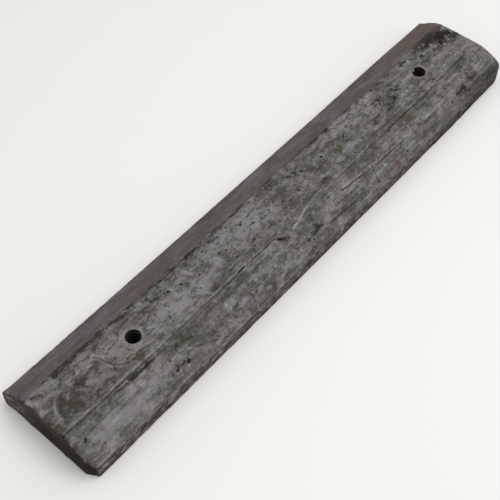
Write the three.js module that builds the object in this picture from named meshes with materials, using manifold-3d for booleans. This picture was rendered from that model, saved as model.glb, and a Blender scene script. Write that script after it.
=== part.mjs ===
import * as THREE from 'three';
import { mergeVertices } from 'three/addons/utils/BufferGeometryUtils.js';
import Module from 'manifold-3d';

// Precast concrete parking wheel stop with its cast-in reinforcement.
// Millimetres, +Z up. X runs along the stop and Y across it. The origin is the middle of the
// underside, so the stop stands on z = 0.

// Concrete block
const length = 905;
const baseWidth = 160;
const height = 58;
const lipHeight = 26; // upright edge along both long sides
const topWidth = 69;
const flankCrown = 4; // how far the -Y flank bulges past a straight slope
const nearBatter = 3; // how far the top of the -X end leans in
const farBatter = 23; // how far the top of the +X end leans in
const wornCornerRadius = 32; // +X -Y corner, in plan
const chamferAlong = 9; // -X -Y corner, in plan
const chamferAcross = 16;

// Pin holes, on the centre line
const nearPinMargin = 152; // from the -X end
const farPinMargin = 136; // from the +X end
const sleeveOuterDiameter = 20;
const sleeveWall = 1.5;
const sleeveRecess = 4; // the sleeves end this far inside the top and the underside

// Reinforcement
const barDiameter = 10;
const barEndCover = 40;
const barSideCover = 30;
const tieDiameter = 6;
const tieBottomCover = 13;
const tieOverhang = 8; // past the outer side of the long bars
const endTieInset = 30; // from the bar's end
const innerTieOffset = 60; // from the pin hole, towards the middle
const wireDiameter = 1.6;

// Plastic chairs under the long bars
const chairLength = 14;
const chairFootWidth = 26;
const chairTopWidth = 16;
const chairArchRadius = 7;
const chairFootHeight = 5;
const chairRecess = 0.5; // the feet stop this far short of the underside
const chairOffset = 40; // from the pin hole, towards the end

// Clearance left around every piece that is set in another one
const clearance = 0.3;

const crownSteps = 6;
const cornerSteps = 14;
const holeSteps = 36;
const arcSteps = 8; // a half circle
const barSteps = 12;
const overrun = 5; // how far a cutting solid passes the face that it cuts

const nearEnd = -length / 2;
const farEnd = length / 2;
const halfWidth = baseWidth / 2;
const halfTop = topWidth / 2;
const nearPinX = nearEnd + nearPinMargin;
const farPinX = farEnd - farPinMargin;
const tieZ = tieBottomCover + tieDiameter / 2;
const barZ = tieZ + tieDiameter / 2 + clearance + barDiameter / 2;
const barY = halfWidth - barSideCover - barDiameter / 2;

const wasm = await Module();
wasm.setup();

const concrete = new THREE.MeshStandardMaterial({ color: 0x6b6965, roughness: 0.92, metalness: 0 });
const liner = new THREE.MeshStandardMaterial({ color: 0x3a2a22, roughness: 0.8, metalness: 0.6 });
const barSteel = new THREE.MeshStandardMaterial({ color: 0x6a4632, roughness: 0.75, metalness: 0.7 });
const wireSteel = new THREE.MeshStandardMaterial({ color: 0x55504b, roughness: 0.6, metalness: 0.8 });
const chairPlastic = new THREE.MeshStandardMaterial({ color: 0x3c3d3f, roughness: 0.6, metalness: 0 });

function solidOf(geometry) {
  const bare = geometry.clone();
  bare.deleteAttribute('normal');
  bare.deleteAttribute('uv');
  const merged = mergeVertices(bare);
  return new wasm.Manifold(new wasm.Mesh({
    numProp: 3,
    vertProperties: new Float32Array(merged.attributes.position.array),
    triVerts: new Uint32Array(merged.index.array),
  }));
}

function geometryOf(solid) {
  const mesh = solid.getMesh();
  const geometry = new THREE.BufferGeometry();
  geometry.setAttribute('position', new THREE.BufferAttribute(mesh.vertProperties, 3));
  geometry.setIndex(new THREE.BufferAttribute(mesh.triVerts, 1));
  geometry.computeVertexNormals();
  return geometry;
}

// An outline drawn in the plane of two axes, pushed along the third.
function prism(outline, depth, across, up) {
  const along = new THREE.Vector3().crossVectors(across, up);
  const geometry = new THREE.ExtrudeGeometry(outline, { depth, bevelEnabled: false, curveSegments: arcSteps });
  geometry.translate(0, 0, -depth / 2);
  geometry.applyMatrix4(new THREE.Matrix4().makeBasis(across, up, along));
  return geometry;
}

const xAxis = new THREE.Vector3(1, 0, 0);
const yAxis = new THREE.Vector3(0, 1, 0);
const zAxis = new THREE.Vector3(0, 0, 1);

// Cross section: upright lips, a straight flank on +Y and a crowned one on -Y.
function crossSection() {
  const from = new THREE.Vector2(-halfWidth, lipHeight);
  const to = new THREE.Vector2(-halfTop, height);
  const outward = new THREE.Vector2(from.y - to.y, to.x - from.x).normalize();
  const outline = new THREE.Shape();
  outline.moveTo(-halfWidth, 0);
  outline.lineTo(halfWidth, 0);
  outline.lineTo(halfWidth, lipHeight);
  outline.lineTo(halfTop, height);
  outline.lineTo(to.x, to.y);
  for (let step = 1; step < crownSteps; step += 1) {
    const share = step / crownSteps;
    const point = to.clone().lerp(from, share).addScaledVector(outward, flankCrown * 4 * share * (1 - share));
    outline.lineTo(point.x, Math.min(point.y, height));
  }
  outline.lineTo(from.x, from.y);
  outline.closePath();
  return outline;
}

// Plan: one corner rounded by wear, one cut by a small chamfer.
function planOutline() {
  const outline = new THREE.Shape();
  outline.moveTo(nearEnd + chamferAlong, -halfWidth);
  const centreX = farEnd - wornCornerRadius;
  const centreY = -halfWidth + wornCornerRadius;
  for (let step = 0; step <= cornerSteps; step += 1) {
    const angle = -Math.PI / 2 + (Math.PI / 2) * (step / cornerSteps);
    outline.lineTo(centreX + wornCornerRadius * Math.cos(angle), centreY + wornCornerRadius * Math.sin(angle));
  }
  outline.lineTo(farEnd, halfWidth);
  outline.lineTo(nearEnd, halfWidth);
  outline.lineTo(nearEnd, -halfWidth + chamferAcross);
  outline.closePath();
  return outline;
}

// Side elevation: both ends lean in towards the top.
function sideOutline() {
  const outline = new THREE.Shape();
  outline.moveTo(nearEnd, 0);
  outline.lineTo(farEnd, 0);
  outline.lineTo(farEnd - farBatter, height);
  outline.lineTo(nearEnd + nearBatter, height);
  outline.closePath();
  return outline;
}

function disc(radius, steps) {
  const outline = new THREE.Shape();
  for (let step = 0; step < steps; step += 1) {
    const angle = (2 * Math.PI * (step + 0.5)) / steps;
    if (step === 0) outline.moveTo(radius * Math.cos(angle), radius * Math.sin(angle));
    else outline.lineTo(radius * Math.cos(angle), radius * Math.sin(angle));
  }
  outline.closePath();
  return outline;
}

function ring(outerRadius, innerRadius, steps) {
  const outline = disc(outerRadius, steps);
  outline.holes.push(new THREE.Path(disc(innerRadius, steps).getPoints().reverse()));
  return outline;
}

function barGeometry(radius, run, direction) {
  const across = direction === xAxis ? yAxis : zAxis;
  const up = direction === xAxis ? zAxis : xAxis;
  return prism(disc(radius, barSteps), run, across, up);
}

// A chair seen along the bar: two feet, an arch between them and a cradle for the bar. A larger
// outline, for the pocket in the concrete, is grown by the margin on every side.
function chairOutline(margin) {
  const foot = chairFootWidth / 2 + margin;
  const neck = chairTopWidth / 2 + margin;
  const cradle = barDiameter / 2 + clearance;
  const arch = chairArchRadius - margin;
  const outline = new THREE.Shape();
  outline.moveTo(-foot, chairRecess);
  outline.lineTo(-arch, chairRecess);
  outline.absarc(0, chairRecess, arch, Math.PI, 0, true);
  outline.lineTo(foot, chairRecess);
  outline.lineTo(foot, chairRecess + chairFootHeight + margin);
  outline.lineTo(neck, barZ + margin);
  outline.lineTo(cradle, barZ + margin);
  if (margin === 0) outline.absarc(0, barZ, cradle, 0, Math.PI, true);
  outline.lineTo(-neck, barZ + margin);
  outline.lineTo(-foot, chairRecess + chairFootHeight + margin);
  outline.closePath();
  return outline;
}

// A wire loop lies in an upright plane, turned 45 degrees to both bars, and goes round the pair.
const wireHalfWidth = (barDiameter / 2) * Math.SQRT2 + wireDiameter / 2 + clearance;
const wireLow = tieZ - tieDiameter / 2 - clearance;
const wireHigh = barZ + barDiameter / 2 + clearance;

function wireOutline(margin) {
  const halfHigh = (wireHigh - wireLow) / 2 + margin;
  const halfWide = wireHalfWidth + margin;
  const corner = barDiameter / 2 + margin;
  const outline = new THREE.Shape();
  outline.moveTo(halfWide, 0);
  outline.absarc(halfWide - corner, halfHigh - corner, corner, 0, Math.PI / 2, false);
  outline.absarc(corner - halfWide, halfHigh - corner, corner, Math.PI / 2, Math.PI, false);
  outline.absarc(corner - halfWide, corner - halfHigh, corner, Math.PI, 1.5 * Math.PI, false);
  outline.absarc(halfWide - corner, corner - halfHigh, corner, 1.5 * Math.PI, 2 * Math.PI, false);
  outline.closePath();
  return outline;
}

function wirePrism(outline, depth) {
  const diagonal = new THREE.Vector3(1, 1, 0).normalize();
  const geometry = new THREE.ExtrudeGeometry(outline, { depth, bevelEnabled: false, curveSegments: 4 });
  geometry.translate(0, 0, -depth / 2);
  const along = new THREE.Vector3().crossVectors(diagonal, zAxis);
  geometry.applyMatrix4(new THREE.Matrix4().makeBasis(diagonal, zAxis, along));
  return geometry;
}

const part = new THREE.Group();

function addPiece(name, geometry, material, x, y, z) {
  const mesh = new THREE.Mesh(geometry, material);
  mesh.name = name;
  mesh.position.set(x, y, z);
  part.add(mesh);
  return mesh;
}

// Every pocket that the concrete flows around is kept here and cut from the block at the end.
const pockets = [];

function addPocket(geometry, x, y, z) {
  geometry.translate(x, y, z);
  pockets.push(solidOf(geometry));
}

// Pin sleeves
const sleeveRadius = sleeveOuterDiameter / 2;
const sleeveRun = height - 2 * sleeveRecess;
for (const [name, x] of [['pin_sleeve_near', nearPinX], ['pin_sleeve_far', farPinX]]) {
  const wall = ring(sleeveRadius, sleeveRadius - sleeveWall, holeSteps);
  addPiece(name, prism(wall, sleeveRun, xAxis, yAxis), liner, x, 0, height / 2);
  addPocket(prism(disc(sleeveRadius + clearance, holeSteps), height + 2 * overrun, xAxis, yAxis), x, 0, height / 2);
}

// Long bars
const barRun = length - 2 * barEndCover;
const sides = [['left', barY], ['right', -barY]];
for (const [side, y] of sides) {
  addPiece(`reinforcing_bar_${side}`, barGeometry(barDiameter / 2, barRun, xAxis), barSteel, 0, y, barZ);
  addPocket(barGeometry(barDiameter / 2 + clearance, barRun + 2 * clearance, xAxis), 0, y, barZ);
}

// Cross ties under the long bars, bound to them at every crossing
const tieRun = 2 * (barY + barDiameter / 2 + tieOverhang);
const tieXs = [
  nearEnd + barEndCover + endTieInset,
  nearPinX + innerTieOffset,
  farPinX - innerTieOffset,
  farEnd - barEndCover - endTieInset,
];
const wireGap = new THREE.Path(wireOutline(0).getPoints(4).reverse());
let wireCount = 0;
tieXs.forEach((x, index) => {
  addPiece(`cross_tie_${index + 1}`, barGeometry(tieDiameter / 2, tieRun, yAxis), barSteel, x, 0, tieZ);
  addPocket(barGeometry(tieDiameter / 2 + clearance, tieRun + 2 * clearance, yAxis), x, 0, tieZ);
  for (const [, y] of sides) {
    wireCount += 1;
    const loop = wireOutline(wireDiameter);
    loop.holes.push(wireGap);
    const wireZ = (wireLow + wireHigh) / 2;
    addPiece(`tie_wire_${wireCount}`, wirePrism(loop, wireDiameter), wireSteel, x, y, wireZ);
    addPocket(wirePrism(wireOutline(wireDiameter + clearance), wireDiameter + 2 * clearance), x, y, wireZ);
  }
});

// Chairs, one near each end of each long bar
let chairCount = 0;
for (const x of [nearPinX - chairOffset, farPinX + chairOffset]) {
  for (const [, y] of sides) {
    chairCount += 1;
    addPiece(`bar_chair_${chairCount}`, prism(chairOutline(0), chairLength, yAxis, zAxis), chairPlastic, x, y, 0);
    addPocket(prism(chairOutline(clearance), chairLength + 2 * clearance, yAxis, zAxis), x, y, 0);
    // The pocket opens through the underside below each foot.
    const footWidth = chairFootWidth / 2 - chairArchRadius + 2 * clearance;
    const footY = (chairFootWidth / 2 + chairArchRadius) / 2;
    for (const way of [-1, 1]) {
      const slot = new THREE.BoxGeometry(chairLength + 2 * clearance, footWidth, 2 * chairRecess + overrun);
      addPocket(slot, x, y + way * footY, chairRecess - overrun / 2);
    }
  }
}

// The block itself
const roomy = 2 * (length + overrun);
let block = solidOf(prism(crossSection(), roomy, yAxis, zAxis))
  .intersect(solidOf(prism(planOutline(), 4 * height, xAxis, yAxis)))
  .intersect(solidOf(prism(sideOutline(), 2 * baseWidth, xAxis, zAxis)));
for (const pocket of pockets) block = block.subtract(pocket);
addPiece('concrete_body', geometryOf(block), concrete, 0, 0, 0);

export default part;
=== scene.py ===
import bpy
import math
import numpy as np
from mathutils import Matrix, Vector, noise


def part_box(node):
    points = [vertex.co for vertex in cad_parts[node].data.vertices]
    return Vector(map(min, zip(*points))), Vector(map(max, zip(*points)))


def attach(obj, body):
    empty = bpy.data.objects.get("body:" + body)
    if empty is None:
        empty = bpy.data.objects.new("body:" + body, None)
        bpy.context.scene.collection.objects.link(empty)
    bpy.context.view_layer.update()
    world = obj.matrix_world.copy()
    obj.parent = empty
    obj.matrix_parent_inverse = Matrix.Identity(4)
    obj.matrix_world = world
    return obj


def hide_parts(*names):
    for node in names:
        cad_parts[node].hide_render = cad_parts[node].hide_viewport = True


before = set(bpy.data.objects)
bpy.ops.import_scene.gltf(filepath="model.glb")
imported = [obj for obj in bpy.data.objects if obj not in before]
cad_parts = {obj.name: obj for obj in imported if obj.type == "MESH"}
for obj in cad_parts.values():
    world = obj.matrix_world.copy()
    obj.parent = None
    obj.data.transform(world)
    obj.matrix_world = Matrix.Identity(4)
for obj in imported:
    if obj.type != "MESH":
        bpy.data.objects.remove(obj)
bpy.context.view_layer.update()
mm = 0.001   # sizes below are in millimetres, Blender works in metres
near = 0.01   # closer than this is the same place


def linear(hexColour):
    parts = [int(hexColour[i:i + 2], 16) / 255 for i in (1, 3, 5)]
    return tuple(c / 12.92 if c <= 0.04045 else ((c + 0.055) / 1.055) ** 2.4 for c in parts) + (1.0,)


def addNode(tree, kind, settings=None, inputs=None, output=None):
    # adds a node, sets it up, links or fills its inputs and gives back the output that is used
    node = tree.nodes.new("ShaderNode" + kind)
    for name, value in (settings or {}).items():
        if name == "stops":
            elements = node.color_ramp.elements
            while len(elements) < len(value):
                elements.new(0.5)
            for element, (place, colour) in zip(elements, value):
                element.position = place
                element.color = linear(colour)
        else:
            setattr(node, name, value)
    for name, value in (inputs or {}).items():
        if isinstance(name, int):
            socket = node.inputs[name]
        else:
            socket = next(s for s in node.inputs if s.name == name and s.enabled)
        if isinstance(value, bpy.types.NodeSocket):
            tree.links.new(value, socket)
        else:
            socket.default_value = linear(value) if isinstance(value, str) else value
    if output:
        return node.outputs[output]
    return next((s for s in node.outputs if s.enabled), None)


def ease(value, start, end):
    # climbs softly from 0 at the start to 1 at the end
    share = np.clip((value - start) / (end - start), 0, 1)
    return share * share * (3 - 2 * share)


def bell(offset, width):
    # 1 at no offset, and fades out over that width on both sides
    return np.exp(-(offset / width) ** 2)


def grain(points, size, seed):
    # smooth noise from about -1 to 1 with lumps of that size, which may differ along x, y and z
    scaled = points / np.array(size, float) + seed
    return np.array([noise.noise(Vector(p)) for p in scaled.tolist()])


def pick(piece):
    bpy.ops.object.select_all(action="DESELECT")
    piece.select_set(True)
    bpy.context.view_layer.objects.active = piece


def applyModifier(piece, kind, **settings):
    modifier = piece.modifiers.new(kind.title(), kind)
    for name, value in settings.items():
        setattr(modifier, name, value)
    bpy.context.view_layer.objects.active = piece
    bpy.ops.object.modifier_apply(modifier=modifier.name)


def cutAway(piece, tool):
    applyModifier(piece, "BOOLEAN", object=tool, operation="DIFFERENCE", solver="EXACT")
    bpy.data.objects.remove(tool)


def meshPoints(piece, what="co"):
    flat = np.empty(len(piece.data.vertices) * 3)
    piece.data.vertices.foreach_get(what, flat)
    return flat.reshape(-1, 3)


def movePoints(piece, points):
    piece.data.vertices.foreach_set("co", (points * mm).ravel())
    piece.data.update()


def storeFloat(piece, name, values):
    layer = piece.data.attributes.new(name, "FLOAT", "POINT")
    layer.data.foreach_set("value", np.asarray(values, np.float32))


def readForm(node):
    # the form's sizes in mm, read off the corners of the CAD block
    p = meshPoints(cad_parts[node]) / mm
    low, high = p.min(0), p.max(0)
    crest = p[p[:, 2] > high[2] - near]
    foot = p[p[:, 2] < low[2] + near]
    rightFoot = foot[foot[:, 1] < low[1] + near, 0]
    nearFoot = foot[foot[:, 0] < low[0] + near, 1]
    lip = p[p[:, 1] > high[1] - near, 2].max()
    halfTop = np.ptp(crest[:, 1]) / 2
    slope = np.array([high[2] - lip, high[1] - halfTop])
    slope /= np.linalg.norm(slope)
    right = p[p[:, 1] < -halfTop]
    beyond = (-right[:, 1] - halfTop) * slope[0] + (right[:, 2] - high[2]) * slope[1]
    return {
        "halfLength": high[0], "halfWidth": high[1], "height": high[2],
        "lip": lip, "halfTop": halfTop, "crown": beyond.max(),
        "nearBatter": crest[:, 0].min() - low[0], "farBatter": high[0] - crest[:, 0].max(),
        "cornerRadius": high[0] - rightFoot.max(),
        "chamferAlong": rightFoot.min() - low[0], "chamferAcross": nearFoot.min() - low[1],
    }


form = readForm("concrete_body")
block = {
    "crownCuts": 6,       # chords of the crowned flank
    "cornerCuts": 7,
    "holeSides": 48,
    "drillGap": 0.5,      # concrete stands this far off each sleeve
    "footGap": 0.6,       # and the pockets are this much larger than the feet
    "voxel": 1.75,        # grid of the worked surface
    "softness": 0.5, "rounds": 1,
}


def sawCut(point, outward):
    bpy.ops.mesh.select_all(action="SELECT")
    bpy.ops.mesh.bisect(
        plane_co=Vector(point) * mm, plane_no=Vector(outward).normalized(), use_fill=True, clear_outer=True)


def sawnBlock():
    long, wide, high = form["halfLength"], form["halfWidth"], form["height"]
    lip, top = form["lip"], form["halfTop"]
    bpy.ops.mesh.primitive_cube_add(size=1, location=(0, 0, high / 2 * mm))
    piece = bpy.context.object
    piece.name = "weathered_concrete_block"
    piece.scale = (2 * long * mm, 2 * wide * mm, high * mm)
    bpy.ops.object.transform_apply()
    bpy.ops.object.mode_set(mode="EDIT")
    # straight flank on +Y, and a crowned one on -Y as short chords of its arc
    rise, run = high - lip, wide - top
    sawCut((0, wide, lip), (0, rise, run))
    arc = []
    for i in range(block["crownCuts"] + 1):
        t = i / block["crownCuts"]
        bulge = form["crown"] * 4 * t * (1 - t) / math.hypot(rise, run)
        arc.append((-top - run * t - rise * bulge, high - rise * t + run * bulge))
    for (y0, z0), (y1, z1) in zip(arc, arc[1:]):
        sawCut((0, y0, z0), (0, z1 - z0, y0 - y1))
    # both ends lean in
    sawCut((-long, 0, 0), (-high, 0, form["nearBatter"]))
    sawCut((long, 0, 0), (high, 0, form["farBatter"]))
    # rounded corner and chamfer, in plan
    radius = form["cornerRadius"]
    for i in range(block["cornerCuts"]):
        angle = -math.pi / 2 * (i + 0.5) / block["cornerCuts"]
        outward = (math.cos(angle), math.sin(angle), 0)
        sawCut((long - radius + radius * outward[0], -wide + radius + radius * outward[1], 0), outward)
    sawCut((-long + form["chamferAlong"], -wide, 0), (-form["chamferAcross"], -form["chamferAlong"], 0))
    bpy.ops.object.mode_set(mode="OBJECT")
    return piece


def drill(piece, sleeve):
    low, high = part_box(sleeve)
    centre = (low + high) / 2
    radius = (high.x - low.x) / 2 + block["drillGap"] * mm
    bpy.ops.mesh.primitive_cylinder_add(
        vertices=block["holeSides"], radius=radius, depth=4 * form["height"] * mm,
        location=(centre.x, centre.y, 0))
    cutAway(piece, bpy.context.object)
    return centre.x / mm, radius / mm


def footPockets(piece):
    # the chairs' feet show in the underside
    for name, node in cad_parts.items():
        if not name.startswith("bar_chair"):
            continue
        p = meshPoints(node) / mm
        feet = p[p[:, 2] < p[:, 2].min() + near]
        sole = feet[:, 2].min()
        splayed = p[abs(p[:, 1] - feet[:, 1].max()) < near, 2].max()
        sides = np.unique(feet[:, 1].round(2))
        for y0, y1 in ((sides[0], sides[1]), (sides[-2], sides[-1])):
            size = (np.ptp(feet[:, 0]), y1 - y0, splayed + sole)
            middle = (feet[:, 0].mean(), (y0 + y1) / 2, splayed - size[2] / 2)
            bpy.ops.mesh.primitive_cube_add(size=1, location=Vector(middle) * mm)
            pocket = bpy.context.object
            pocket.scale = [(extent + block["footGap"]) * mm for extent in size]
            bpy.ops.object.transform_apply()
            cutAway(piece, pocket)


# The right side's far end is worn round, and a little of the left arris with it.
# Each pair says where along x, then along y, the wear starts and where it is full
wornCorner = {
    "right": ((290, 425), (-46, -60)), "left": ((350, 430), (22, 32)), "leftShare": 0.5,
    "least": 0.02, "softness": 0.5, "rounds": 40,
}


def roundWornCorner(piece):
    x, y, z = (meshPoints(piece) / mm).T
    (x0, x1), (y0, y1) = wornCorner["right"]
    worn = ease(x, x0, x1) * ease(y, y0, y1)
    (x0, x1), (y0, y1) = wornCorner["left"]
    worn += wornCorner["leftShare"] * ease(x, x0, x1) * ease(y, y0, y1)
    group = piece.vertex_groups.new(name="worn")
    for index in np.flatnonzero(worn > wornCorner["least"]).tolist():
        group.add([index], float(worn[index]), "REPLACE")
    applyModifier(
        piece, "SMOOTH", vertex_group="worn", factor=wornCorner["softness"], iterations=wornCorner["rounds"])
    piece.vertex_groups.clear()


# The hidden flat face needs few polygons
underside = {"inset": 5, "facesKept": 0.05, "flatness": 0.99, "thickness": 0.5}


def thinUnderside(piece):
    bpy.context.view_layer.objects.active = piece
    bpy.ops.object.mode_set(mode="EDIT")
    bpy.ops.mesh.select_all(action="DESELECT")
    bpy.ops.mesh.select_mode(type="VERT")
    bpy.ops.object.mode_set(mode="OBJECT")
    p, normal = meshPoints(piece) / mm, meshPoints(piece, "normal")
    flat = (normal[:, 2] < -underside["flatness"]) & (p[:, 2] < underside["thickness"])
    inset = underside["inset"]
    inner = (abs(p[:, 1]) < form["halfWidth"] - inset) & (abs(p[:, 0]) < form["halfLength"] - inset)
    piece.data.vertices.foreach_set("select", flat & inner)
    bpy.ops.object.mode_set(mode="EDIT")
    bpy.ops.mesh.decimate(ratio=underside["facesKept"])
    bpy.ops.object.mode_set(mode="OBJECT")


concrete = sawnBlock()
holes = [drill(concrete, sleeve) for sleeve in ("pin_sleeve_near", "pin_sleeve_far")]
footPockets(concrete)
applyModifier(concrete, "REMESH", mode="VOXEL", voxel_size=block["voxel"] * mm)
applyModifier(concrete, "SMOOTH", factor=block["softness"], iterations=block["rounds"])
roundWornCorner(concrete)
thinUnderside(concrete)
print("block sawn, drilled and meshed:", len(concrete.data.polygons), "faces")


def standsProud(piece, rounds):
    # how far each point stands out of its smoothed surroundings: above 0 on an arris, below 0 in a hollow
    soft = piece.copy()
    soft.data = piece.data.copy()
    bpy.context.scene.collection.objects.link(soft)
    applyModifier(soft, "SMOOTH", factor=block["softness"], iterations=rounds)
    proud = ((meshPoints(piece) - meshPoints(soft)) * meshPoints(piece, "normal")).sum(1) / mm
    bpy.data.meshes.remove(soft.data)
    return proud


def spot(x, y, place):
    # 0 at the middle of an oval and 1 on its rim
    turn = math.radians(place[4]) if len(place) > 4 else 0
    dx, dy = x - place[0], y - place[1]
    along, across = dx * math.cos(turn) + dy * math.sin(turn), dy * math.cos(turn) - dx * math.sin(turn)
    return np.hypot(along / place[2], across / place[3])


def toLine(x, y, line):
    # distance in plan to a run of straight stretches
    best = np.full(len(x), np.inf)
    for (ax, ay), (bx, by) in zip(line, line[1:]):
        t = np.clip(((x - ax) * (bx - ax) + (y - ay) * (by - ay)) / ((bx - ax) ** 2 + (by - ay) ** 2), 0, 1)
        best = np.minimum(best, np.hypot(x - ax - t * (bx - ax), y - ay - t * (by - ay)))
    return best


# Grains that the marks share: size of a lump in mm, along and across if they differ, and seed
grains = {"lumps": (22, 9.7), "coarse": (7, 1.3), "fine": (3.0, 5.9), "streak": ((60, 2.6, 2.6), 2.2)}

# The surface as poured and struck off: how far each grain lifts each face, in mm
cast = {
    "lumps": {"top": 0.22, "rightFlank": 0.30, "leftFlank": 0.10, "side": 0.35},
    "coarse": {"top": 0.20, "rightFlank": 0.16, "leftFlank": 0.05, "side": 0.28},
    "fine": {"top": 0.20, "rightFlank": 0.14, "leftFlank": 0.05, "side": 0.2},
    "streak": {"top": 0.14, "rightFlank": 0.22},
}
wave = {"size": 110, "seed": 3.1, "lift": 0.25}   # long and slow, over the whole block


def roughCast(s):
    for name, (size, seed) in grains.items():
        s[name] = grain(s["p"], size, seed)
    s["push"] += wave["lift"] * grain(s["p"], wave["size"], wave["seed"])
    for name, lifts in cast.items():
        s["push"] += s[name] * sum(lift * s[face] for face, lift in lifts.items())


def mix(s, shares):
    return sum(share * s[name] for name, share in shares.items())


def patchy(s, where):
    # 0 to 1: how far a mix of grains has climbed from start to end
    start, end, shares = where
    return ease(mix(s, shares), start, end)


def stain(s, kind, share):
    s[kind] = np.maximum(s[kind], share)   # the stronger of two stains shows


# The mark that the form's edge left along the top, with a ridge and finer lines beside it. Its cut is painted
# dark, painted shade with some dirt, and its ridge is painted pale, a painted highlight
groove = {
    "line": [(-452, -34.2), (-307, -36), (-90, -35.6), (75, -34.7), (250, -34.6), (396, -32.6)],
    "strength": [(-452, 1), (-320, 1), (-296, 0.6), (-240, 0.5), (-175, 0.75), (-150, 0.8), (-90, 0.9),
                 (-55, 0.2), (60, 0.2), (80, 0.7), (150, 1), (388, 1), (397, 0)],
    "wander": 1.0, "wanderSize": 34, "wanderSeed": 4.4,
    "half": 1.25, "depth": 1.2, "ragged": {"coarse": 0.6, "fine": 0.3},
    "dark": 0.35, "darker": 0.5, "darkerWhere": (-0.35, 0.35, {"lumps": 1, "coarse": 0.5}),
    "ridgeOff": 2.7, "ridgeHalf": 1.1, "ridgeRise": 0.1,
    "ridgeHighlight": 0.24, "paleWhere": (-0.2, 0.5, {"fine": 1, "coarse": 0.5, "streak": 0.6}),
    "softHalf": 2.8, "softDark": 0.5, "softFrom": (60, 160),
    "softWhere": (-0.6, 0.4, {"coarse": 1, "streak": 1}),
    "calm": 5,    # relief is drawn weaker this near
    # finer lines: how far off, strength
    "beside": [(5.5, 0.55), (9, 0.4), (13.5, 0.35), (-3.2, 0.35), (-5.6, 0.4), (-8.5, 0.3)],
    "besideHalf": 0.8, "besideDepth": 0.5, "besideWander": 0.6,
    "besideWhere": (-0.1, 0.25, {"streak": 1, "lumps": 0.3}),
}


def markGroove(s):
    along = np.stack([s["x"], 0 * s["x"], 0 * s["x"]], 1)
    wander = groove["wander"] * grain(along, groove["wanderSize"], groove["wanderSeed"])
    off = s["y"] - np.interp(s["x"], *zip(*groove["line"])) - wander
    strength = np.interp(s["x"], *zip(*groove["strength"])) * s["up"]
    cut = bell(off, groove["half"] * (1 + mix(s, groove["ragged"]))) * strength
    ridge = bell(off - groove["ridgeOff"], groove["ridgeHalf"]) * strength
    s["push"] += groove["ridgeRise"] * ridge - groove["depth"] * cut
    # the cut and the soft band beside it are painted dark: painted shade with some dirt; the ridge is painted
    # pale: a painted highlight
    stain(s, "dirt", (groove["dark"] + groove["darker"] * patchy(s, groove["darkerWhere"])) * cut)
    stain(s, "pale", groove["ridgeHighlight"] * ridge * patchy(s, groove["paleWhere"]))
    soft = bell(off, groove["softHalf"]) * strength * ease(s["x"], *groove["softFrom"])
    stain(s, "dirt", groove["softDark"] * soft * patchy(s, groove["softWhere"]))
    s["atGroove"] = bell(off, groove["calm"]) * strength
    for step, strong in groove["beside"]:
        beside = bell(off - step - groove["besideWander"] * s["lumps"], groove["besideHalf"]) * strength
        beside *= patchy(s, groove["besideWhere"])
        s["push"] -= groove["besideDepth"] * strong * beside
        stain(s, "dirt", strong * beside)


# Laps where one pour set against the next, round the near hole: path, and step down in mm
laps = [
    ([(-353, 15), (-349, 7), (-347.5, -1), (-344, -10), (-336, -19), (-330, -22)], 0.8),
    ([(-328, -16.5), (-311, -20), (-297, -23.5), (-288, -25)], 0.6),
    ([(-334, 9.5), (-317, 10), (-313, 14.5), (-308, 19.5), (-298, 22.5), (-286, 23)], 0.9),
]
lapLook = {
    "stepHalf": 1.1, "weakest": 0.45, "strongerWhere": (-0.4, 0.3, {"lumps": 1, "coarse": 0.5}),
    "swellOff": 3.5, "swellHalf": 2.2, "swellRise": 0.25, "brownHalf": 1.05, "brown": 0.7,
    "paleOff": 3.0, "paleHalf": 1.4, "pale": 0.16, "paleWhere": (-0.3, 0.2, {"fine": 1}),
}
cracks = [   # path, depth, how dark from 0 to 1
    ([(-253, -62.7), (-240, -67), (-213, -77)], 0.5, 0.45),
    ([(60, -50), (100, -53.5), (160, -57.6), (200, -58.5)], 0.6, 0.75),
    ([(35, -58.6), (89, -60)], 0.4, 0.5),
    ([(14, -68), (68, -70.5)], 0.4, 0.5),
    ([(-230, 31.5), (-160, 32), (-100, 31)], 0.5, 0.7),
    ([(-232, 27.5), (-180, 28.5), (-128, 28)], 0.4, 0.6),
    ([(-452, -33), (-446, -36)], 0.6, 0.6),
    ([(-391, 7), (-386, 14), (-380.5, 21)], 0.5, 0.6),
]
crackLook = {"half": 1.0, "openWhere": (-0.5, 0.0, {"streak": 1})}
scratches = [   # path, how pale from 0 to 1
    ([(-40, -42.5), (-22, -39.5), (-8, -35.2), (2, -33.5)], 1.0),
    ([(2, -33.5), (24, -31), (46, -29)], 0.55),
    ([(62, -48), (110, -52.5), (150, -55.5)], 0.5),
    ([(-440, -31.6), (-380, -32.4), (-310, -33.2)], 0.3),
    ([(150, -54.5), (186, -57), (232, -57.5)], 0.45),
    ([(240, -57.5), (330, -57), (400, -56)], 0.35),
    ([(-133, 31), (-60, 30)], 0.3),
    ([(-421, -24), (-413, -27.5), (-404, -32)], 0.6),
    ([(-44, -33), (-30, -29.5), (-18, -25)], 0.3),
    ([(-54, -28), (-34, -24), (-22, -19)], 0.25),
]
scratchLook = {"half": 1.0, "rise": 0.2, "openWhere": (-0.8, 0.1, {"fine": 1, "coarse": 1})}
lineWander = 0.8   # how far in mm the grain bends these lines


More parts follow.
